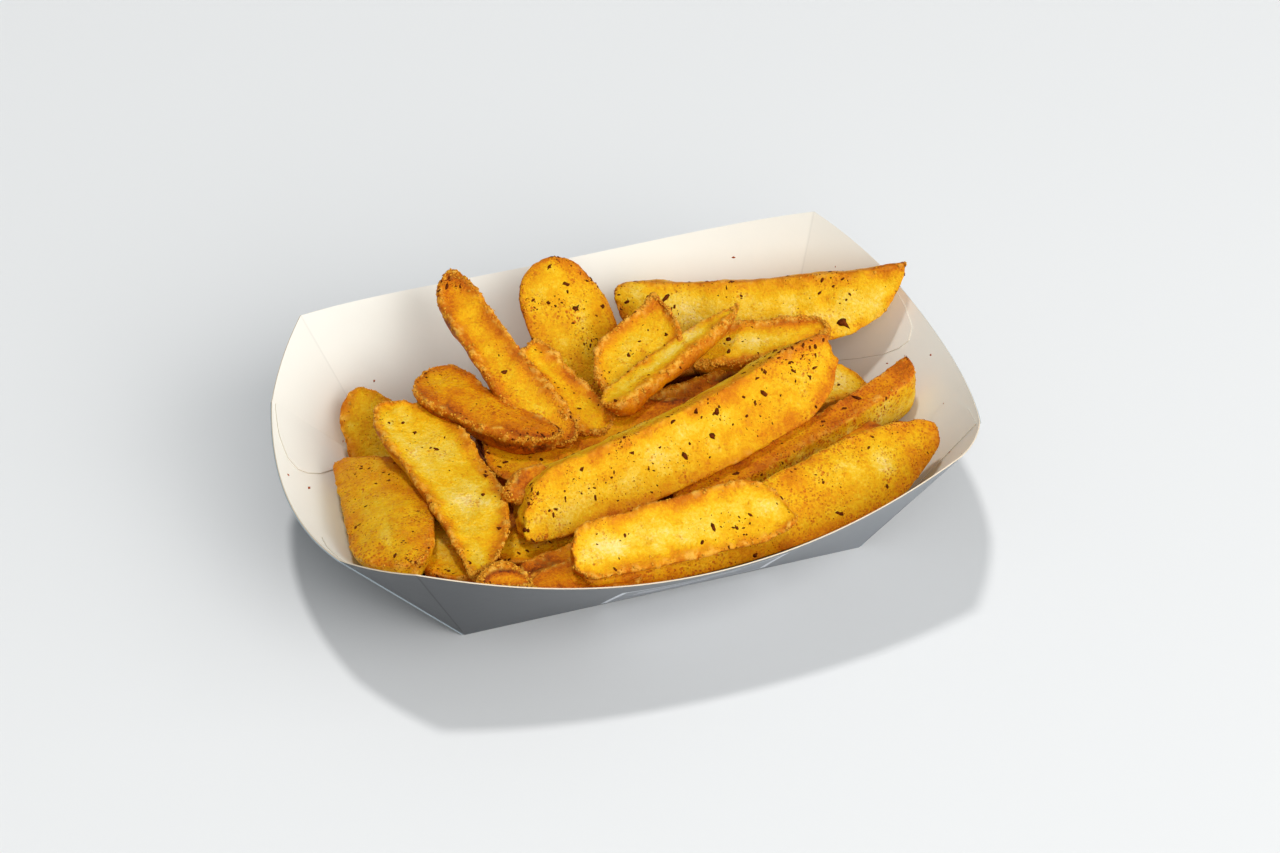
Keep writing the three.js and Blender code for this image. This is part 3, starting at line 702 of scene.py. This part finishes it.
def room_tree():
    """The tray's inside as a surface that goes on above the rim."""
    gaps = np.linalg.norm(SPOKES[:, 1] - np.roll(SPOKES[:, 1], 1, axis=0), axis=1)
    spaced = SPOKES[gaps > 2 * CREASE_HALF]
    walls = wall_rows(inset_spokes(spaced, ROOM_INSET, ROOM_FLOOR, ROOM_HEIGHT), ROOM_STEPS)
    count = walls.shape[1]
    points = np.concatenate([walls.reshape(-1, 3), [[0, 0, ROOM_FLOOR]]])
    faces = grid_faces(len(walls), count, True)
    faces += [((i + 1) % count, i, len(points) - 1) for i in range(count)]
    return BVHTree.FromPolygons([Vector(p) for p in points], faces)


ROOM = room_tree()


def kept_inside(points):
    """The points, with those outside the room put back on its surface."""
    kept = points.copy()
    kept[:, 2] = np.maximum(kept[:, 2], ROOM_FLOOR)
    for i, point in enumerate(kept):
        nearest, normal, _, _ = ROOM.find_nearest(Vector(point))
        if (Vector(point) - nearest).dot(normal) > 0:
            kept[i] = nearest
    return kept


def rounded_end(along, reach):
    """The share of its section that a wedge keeps near an end."""
    into = np.clip(1 - along / reach, 0, 1)
    return np.maximum(TIP, np.sqrt(1 - into * into))


def axes_of(run, roll):
    """Unit vectors along a wedge's run, across its widest face and out of that face."""
    axis = unit(run)
    up = unit(np.array([0, 0, 1]) - axis * axis[2])
    side = np.cross(up, axis)
    turn = math.radians(roll)
    return (axis, side * math.cos(turn) + up * math.sin(turn),
            up * math.cos(turn) - side * math.sin(turn))


def wedge_sections(wedge):
    """The wedge's smooth skin as rows of rings, and what wedge_piece needs to know of it.

    For each point that is its distance from a corner, its face, where 0 is the widest, and its
    share of the way across that face, and for each ring its share of the way along the wedge.
    The last value is the wedge's axis."""
    run = np.array(wedge.end, dtype=float) - wedge.start
    axis, side, up = axes_of(run, wedge.roll)
    (reach_0, tip_0), (reach_1, tip_1) = wedge.ends
    even = np.linspace(0, 1, max(FEWEST_RINGS, round(np.linalg.norm(run) / wedge.grid)))
    along = lerp(even, (1 - np.cos(np.pi * even)) / 2, RING_EASE)
    kept_0, kept_1 = rounded_end(along, reach_0), rounded_end(1 - along, reach_1)
    kept = kept_0 * kept_1
    half = wedge.width / 2 * (1 + wedge.taper * (along - 0.5))
    low = -1 + (tip_0 + 1) * (1 - kept_0) + (tip_1 + 1) * (1 - kept_1)
    high = 1 - (1 - tip_0) * (1 - kept_0) - (1 - tip_1) * (1 - kept_1)
    corners = np.stack([
        np.stack([low * half, 0 * along], axis=1),
        np.stack([high * half, 0 * along], axis=1),
        np.stack([((low + high) / 2 + wedge.ridge * kept) * half, -wedge.depth * kept], axis=1),
    ], axis=1)

    middle = len(along) // 2
    lengths = np.linalg.norm(np.roll(corners[middle], -1, axis=0) - corners[middle], axis=1)
    counts = [max(FEWEST_COLUMNS, round(length / wedge.grid)) for length in lengths]
    edge = np.repeat([0, 1, 2], counts)
    share = np.concatenate([np.arange(count) / count for count in counts])
    starts = corners[:, edge]
    spans = corners[:, (edge + 1) % 3] - starts
    outwards = unit(np.stack([-spans[..., 1], spans[..., 0]], axis=-1))
    swell = np.array([wedge.crown, SKIN_SWELL, SKIN_SWELL])[edge] * arch(share)
    flat = starts + spans * share[:, None] + outwards * (swell * kept[:, None])[..., None]
    for _ in range(CORNER_SMOOTHING):
        flat = (np.roll(flat, 1, axis=1) + 2 * flat + np.roll(flat, -1, axis=1)) / 4

    spine = np.array(wedge.start) + np.outer(along, run) + np.outer(wedge.bow * arch(along), side)
    points = spine[:, None] + flat[..., :1] * side + flat[..., 1:] * up
    from_corner = np.minimum(share, 1 - share) * np.linalg.norm(spans, axis=-1)
    edge, share = (np.broadcast_to(values, from_corner.shape) for values in (edge, share))
    return points, from_corner, edge, share, along, axis


def ring_normals(points):
    """Outward unit normals of rows of rings."""
    around = np.roll(points, -1, axis=1) - np.roll(points, 1, axis=1)
    down = np.gradient(points, axis=0)
    normals = unit(np.cross(around, down))
    centres = points.mean(axis=1, keepdims=True)
    inward = ((points - centres) * normals).sum(axis=-1).sum() < 0
    return -normals if inward else normals


def wedge_piece(wedge, number):
    """One fried wedge with crusty rims, sunken cut faces and ragged ends.

    Returns its points, their normals, how near they are to a rim, their shares of the way along
    it, and their shares of the way across its widest face, or -1 off that face."""
    points, from_corner, edge, share, along, axis = wedge_sections(wedge)
    columns = points.shape[1]
    flat = points.reshape(-1, 3)
    place = flat + number * NOISE_STEP
    normals = ring_normals(points).reshape(-1, 3)
    near = from_corner.reshape(-1)
    rim = np.exp(-(near / RIM_WIDTH) ** 2)
    band = np.exp(-(near / BAND_WIDTH) ** 2)
    on_face = edge.reshape(-1) == 0
    streaks = noise(place - 0.8 * np.outer(place @ axis, axis), 2.6, 12)

    lumps = layered(place, SKIN_LUMPS) + 0.05 * streaks
    sunk = wedge.dish * on_face * (1 - np.exp(-(near / DISH_WIDTH) ** 2))
    beads = np.clip(0.3 + 0.6 * noise(place, 1.3, 4) + 0.5 * noise(place, 0.8, 11), 0, 1)
    rough = wedge.crust * (rim * (0.15 + 0.55 * beads) + 0.5 * band * noise(place, 4.2, 5))
    flat = flat + normals * (lumps - sunk + rough)[:, None]

    steps = np.repeat(along, columns)
    end_share = np.maximum(np.exp(-steps / END_SHARE), np.exp(-(1 - steps) / END_SHARE))
    tear = wedge.ragged * end_share * (noise(place, 3.4, 6) + 0.5 * noise(place, 1.6, 7))
    flat = kept_inside(flat + tear[:, None] * axis)

    tone = wedge.tone + layered(place, TONE_PATCHES) + 0.08 * streaks
    tone += band * (0.13 + 0.24 * wedge.crust) * (1 + 0.7 * noise(place, 5, 13))
    # Painted shade on the two faces that aren't the widest, on top of their skin's deeper colour; below
    # 0 it is painted light.
    tone += wedge.skin_and_shade_tone * ~on_face
    tone += 0.06 * end_share
    dust = np.clip(wedge.dust * (0.5 + 0.6 * noise(place, 8, 10) + 0.4 * band), 0, 1.2)
    crusty = np.clip(wedge.crust * (rim + 0.7 * band * np.clip(noise(place, 3, 14), 0, 1)), 0, 1)

    looks = {"tone": tone, "dust": dust, "rim": crusty, "bead": beads}
    looks = {key: np.append(values, [values[0], values[-1]]) for key, values in looks.items()}
    points, faces = capped(flat, columns)
    made = piece(wedge.name, points, faces, (POTATO,), "wedge_heap", attributes=looks)
    turn_outwards(made)
    across = np.where(on_face, share.reshape(-1), -1)
    return flat, normals, rim, steps, across


def core_piece():
    """The lumpy mound under the wedges."""
    around, up = CORE_STEPS
    turns = np.linspace(0, 2 * np.pi, around, endpoint=False)
    rises = np.linspace(-CORE_POLE, CORE_POLE, up)
    sphere = np.array([[(math.cos(r) * math.cos(t), math.cos(r) * math.sin(t), math.sin(r))
                        for t in turns] for r in rises]).reshape(-1, 3)
    flat = sphere * CORE_HALF + CORE_CENTRE
    flat = kept_inside(flat + sphere * layered(flat, CORE_LUMPS)[:, None])
    points, faces = capped(flat, around)
    none = np.zeros(len(points))
    looks = {"tone": CORE_TONE + 0.1 * noise(points, 8, 2), "dust": none + CORE_DUST,
             "rim": none, "bead": none}
    made = piece("heap_core", points, faces, (POTATO,), "wedge_heap", attributes=looks)
    turn_outwards(made)


# ---- seasoning ----

@dataclass
class Speck:
    """One kind of seasoning, whose sizes lie round a median or are drawn evenly."""

    material: bpy.types.Material
    count: int
    stretch: float  # how long one can be, against its size
    flatness: float  # how high it can be, against its size
    sizes: tuple = None  # the smallest and the largest
    median: float = None
    sides: int = 4
    ragged: float = 0.35  # unevenness of its corners


SPECKS = {
    "pepper_flakes": Speck(PEPPER, 900, 1.8, 0.45, sizes=(0.35, 1.8), median=0.58, sides=6),
    "pepper_dust": Speck(PEPPER, 1100, 1.6, 0.5, sizes=(0.18, 0.38)),
    "paprika_grains": Speck(PAPRIKA, 6000, 1.5, 0.5, sizes=(0.2, 0.42)),
    "crust_crumbs": Speck(CRUMB, 7000, 1.4, 0.55, sizes=(0.45, 1.1)),
    "stray_specks": Speck(PAPRIKA, 40, 1.8, 0.5, sizes=(0.35, 0.9)),
    "large_flakes": Speck(PEPPER, len(LARGE_FLAKES), 1.5, 0.3, sides=9, ragged=0.5),
}
MEDIAN_SPREAD = 0.42  # of the logarithm of the sizes that lie round a median
SPECK_SEED = 7
SCATTER = 0.2  # how far specks lie from the points of the skin that carry them
PEPPER_LOW, PEPPER_RISE = 22, 18  # the heights that pepper starts from and grows over


def speck_shape(sides):
    """Corners of a flat lump with that many sides, along, across and out, and its faces."""
    turns = 2 * np.pi * np.arange(sides) / sides
    outline = np.stack([np.cos(turns), np.sin(turns), 0 * turns], axis=1)
    faces = [(i, (i + 1) % sides, sides) for i in range(sides)]
    faces += [((i + 1) % sides, i, sides + 1) for i in range(sides)]
    return np.concatenate([outline, [(0, 0, 1), (0, 0, -1)]]), np.array(faces)


def drawn_sizes(kind, rng):
    """A size for each speck of a kind."""
    if kind.median:
        sizes = rng.lognormal(math.log(kind.median), MEDIAN_SPREAD, kind.count)
        return np.clip(sizes, *kind.sizes)
    return rng.uniform(*kind.sizes, kind.count)


def specks(name, rng, places, normals, sizes):
    """Joined specks of one kind, each turned at random on the surface that it lies on."""
    kind = SPECKS[name]
    count = kind.count
    shape, shape_faces = speck_shape(kind.sides)
    spin = unit(np.cross(normals, unit(rng.normal(size=(count, 3)))))
    across = np.cross(normals, spin)
    lengths = sizes * rng.uniform(1, kind.stretch, count)
    widths = sizes * rng.uniform(0.6, 1, count)
    heights = sizes * rng.uniform(0.6, 1, count) * kind.flatness
    corners = shape * (1 + kind.ragged * rng.uniform(-1, 1, (count, len(shape), 1)))
    points = (places[:, None]
              + corners[..., :1] * (lengths / 2)[:, None, None] * spin[:, None]
              + corners[..., 1:2] * (widths / 2)[:, None, None] * across[:, None]
              + corners[..., 2:] * (heights / 2)[:, None, None] * normals[:, None])
    faces = (shape_faces + len(shape) * np.arange(count)[:, None, None]).reshape(-1, 3)
    piece(name, points.reshape(-1, 3), faces.tolist(), (kind.material,), "wedge_heap")


def picked(rng, weights, count):
    """Indices drawn in proportion to weights."""
    steps = np.cumsum(weights)
    return np.searchsorted(steps, rng.uniform(0, steps[-1], count))


def season(wedges):
    """Dark flakes, paprika and fried crumbs over the wedges, most of them where they face up."""
    rng = np.random.default_rng(SPECK_SEED)
    points, normals, rims = (np.concatenate([skin[i] for _, skin in wedges]) for i in range(3))

    def per_wedge(value):
        return np.concatenate([np.full(len(skin[0]), value(wedge)) for wedge, skin in wedges])

    facing_up = np.clip(normals[:, 2] + 0.35, 0, 1)
    patchy = np.clip(0.5 + noise(points, 7, 20), 0.05, None) ** 2
    jitter = rng.normal(scale=SCATTER, size=points.shape)
    spread = points + jitter - normals * (jitter * normals).sum(axis=1, keepdims=True)

    on_top = np.clip((points[:, 2] - PEPPER_LOW) / PEPPER_RISE, 0.15, 1.2)
    peppered = facing_up * patchy * on_top * per_wedge(lambda w: w.flakes)
    powdered = facing_up * patchy * per_wedge(lambda w: w.dust) * (0.4 + rims)
    crumbly = (rims ** 2) * per_wedge(lambda w: w.crust ** 3)
    for name, weights in (("pepper_flakes", peppered), ("pepper_dust", peppered),
                          ("paprika_grains", powdered), ("crust_crumbs", crumbly)):
        chosen = picked(rng, weights, SPECKS[name].count)
        specks(name, rng, spread[chosen], normals[chosen], drawn_sizes(SPECKS[name], rng))
    stray_specks(rng)
    large_flakes(rng, {wedge.name: skin for wedge, skin in wedges})


def large_flakes(rng, skins):
    """The largest flakes, each on the nearest point of its wedge to where it is said to lie."""
    places, normals = [], []
    for name, along, across, _ in LARGE_FLAKES:
        flat, outwards, _, steps, shares = skins[name]
        nearest = np.argmin(np.abs(steps - along) * 4 + np.abs(shares - across))
        places.append(flat[nearest])
        normals.append(outwards[nearest])
    sizes = np.array([flake[-1] for flake in LARGE_FLAKES])
    specks("large_flakes", rng, np.array(places), np.array(normals), sizes)


def stray_specks(rng):
    """A little paprika on the board itself, on the inner side of the walls."""
    inner = inset_spokes(SPOKES, BOARD, BOARD)
    feet, rims = inner[:, 0], inner[:, 1]
    normals = unit(np.cross(rims - feet, np.roll(rims, -1, axis=0) - np.roll(rims, 1, axis=0)))
    kind = SPECKS["stray_specks"]
    chosen = rng.integers(0, len(inner), kind.count)
    shares = rng.uniform(0.25, 0.95, (kind.count, 1))
    places = lerp(feet[chosen], rims[chosen], shares)
    specks("stray_specks", rng, places, normals[chosen], drawn_sizes(kind, rng))


# ---- building it all ----

tray_shell()
tongues()
end_flaps()
core_piece()
season([(wedge, wedge_piece(wedge, number)) for number, wedge in enumerate(WEDGES)])


# ---- the stage ----

STUDIO_HALF = 3000  # of the floor's width
STUDIO_COLOR = (0.83, 0.83, 0.825, 1)


def floor():
    tree = Tree("studio_floor")
    tree.set(Base_Color=STUDIO_COLOR, Roughness=0.7, Specular_IOR_Level=0.1)
    mesh = bpy.data.meshes.new("studio_floor")
    corners = np.array([(-1, -1, 0), (1, -1, 0), (1, 1, 0), (-1, 1, 0)]) * STUDIO_HALF * MM
    mesh.from_pydata(corners.tolist(), [], [(0, 1, 2, 3)])
    mesh.materials.append(tree.material)
    made = bpy.data.objects.new("studio_floor", mesh)
    bpy.context.collection.objects.link(made)


def direction(turn, up):
    """A unit vector, turned in degrees from the front to the right, and up."""
    turn, up = math.radians(turn), math.radians(up)
    return np.array([math.sin(turn) * math.cos(up), -math.cos(turn) * math.cos(up), math.sin(up)])


def aimed(name, data, place, target):
    """A light or camera at a place, which looks at the target."""
    made = bpy.data.objects.new(name, data)
    made.location = Vector(place) * MM
    made.rotation_euler = (Vector(target) - Vector(place)).to_track_quat("-Z", "Y").to_euler()
    bpy.context.collection.objects.link(made)
    return made


LIT_PLACE = (0, 0, 20)
KEY_PLACE = (-47, 225, 1000)  # nearly overhead, a little behind
KEY_STRENGTH, KEY_ANGLE = 1.09, 6  # watts for a square metre, and degrees across
SKY_COLOR, SKY_STRENGTH = (0.88, 0.955, 1.0, 1), 0.255
# Large soft lights: where from in degrees, turned from the front to the right and up, the
# width in metres and the power in watts.
SOFT_DISTANCE = 2600
SOFT_LIGHTS = {
    "window": {"turn": 10, "up": 36, "width": 2.4, "watts": 46},
    "side": {"turn": 48, "up": 18, "width": 3, "watts": 46},
}


def lights():
    key = bpy.data.lights.new("key", "SUN")
    key.energy = KEY_STRENGTH
    key.angle = math.radians(KEY_ANGLE)
    aimed("key", key, KEY_PLACE, LIT_PLACE)
    for name, light in SOFT_LIGHTS.items():
        data = bpy.data.lights.new(name, "AREA")
        data.energy = light["watts"]
        data.size = light["width"]
        aimed(name, data, direction(light["turn"], light["up"]) * SOFT_DISTANCE, LIT_PLACE)
    world = bpy.data.worlds.new("studio")
    world.use_nodes = True
    sky = world.node_tree.nodes["Background"]
    sky.inputs["Color"].default_value = SKY_COLOR
    sky.inputs["Strength"].default_value = SKY_STRENGTH
    bpy.context.scene.world = world
    bpy.context.scene.view_settings.view_transform = "Standard"


# The camera, fitted to the tray's corners and rim in the photo. Its angles are in degrees.
CAMERA_TARGET = (7.6, 10.4, 20)
CAMERA_YAW, CAMERA_ELEVATION, CAMERA_DISTANCE = -18.45, 39.58, 1213
CAMERA_LENS, CAMERA_SENSOR = 129.4, 36


def camera():
    data = bpy.data.cameras.new("camera")
    data.lens = CAMERA_LENS
    data.sensor_width = CAMERA_SENSOR
    place = np.array(CAMERA_TARGET) + direction(CAMERA_YAW, CAMERA_ELEVATION) * CAMERA_DISTANCE
    bpy.context.scene.camera = aimed("camera", data, place, CAMERA_TARGET)


floor()
lights()
camera()
